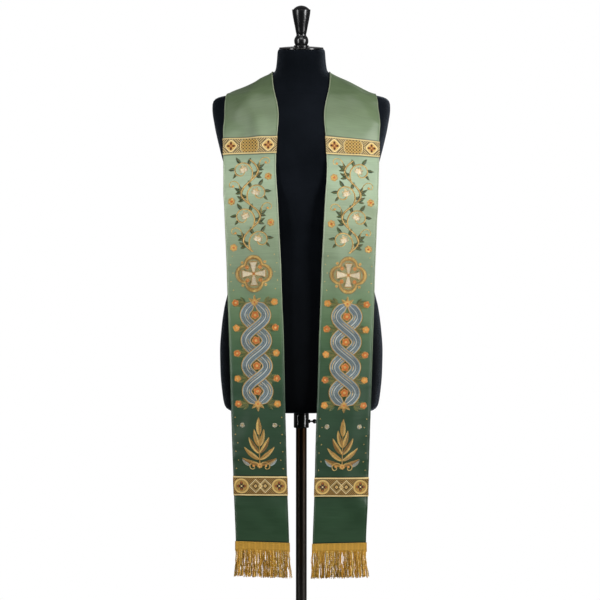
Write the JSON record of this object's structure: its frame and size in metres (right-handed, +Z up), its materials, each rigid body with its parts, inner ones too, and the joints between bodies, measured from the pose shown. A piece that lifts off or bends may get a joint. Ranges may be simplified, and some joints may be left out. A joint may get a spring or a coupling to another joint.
{
  "type": "clerical stole on a dress form",
  "caption": "Long narrow clerical stole of graded green satin with woven bands, embroidery and fringed ends, draped over a limbless dress form on a round-based pole stand.",
  "frame": {"origin": "On the floor, at the middle of the round base's underside and on the pole's axis.", "axes": "+Z up. The form and the stole face -Y. +X is the wearer's left, which is the viewer's right from the front."},
  "size_m": [0.4092, 0.36, 1.6168],
  "materials": {
    "black_enamel": "satin black enamel on steel",
    "bronzed_tube": "dark bronzed steel tube, brushed lengthwise",
    "black_jersey": "fine black knitted jersey stretched over a moulded body",
    "black_lacquer": "turned wood in gloss black lacquer",
    "green_satin": "satin graded from sage green at the shoulders to forest green at the hem",
    "gold_galloon": "jacquard ribbon in gold, cream and rust brown",
    "gold_fringe": "twisted gold rayon cords on a woven heading"
  },
  "bodies": {
    "stand": {"base": "black_enamel", "pole": "bronzed_tube"},
    "clamp": {"clamp_collar": "black_enamel"},
    "screw": {"clamp_screw": "black_enamel"},
    "form": {"form_body": "black_jersey", "neck_cap": "black_enamel", "neck_finial": "black_lacquer", "left_panel": "green_satin", "right_panel": "green_satin", "left_upper_band": "gold_galloon", "right_upper_band": "gold_galloon", "left_lower_band": "gold_galloon", "right_lower_band": "gold_galloon", "left_fringe": "gold_fringe", "right_fringe": "gold_fringe"}
  },
  "joints": [
    {"name": "height", "type": "slide", "parent": "stand", "child": "clamp", "axis": [0, 0, 1], "range_m": [0, 0.2]},
    {"name": "swivel", "type": "hinge", "parent": "clamp", "child": "form", "pos_m": [0, 0, 0.687], "axis": [0, 0, 1], "continuous": true},
    {"name": "clamp_turn", "type": "hinge", "parent": "clamp", "child": "screw", "pos_m": [0.0306, 0, 0.6625], "axis": [1, 0, 0], "range_deg": [0, 360]}
  ]
}
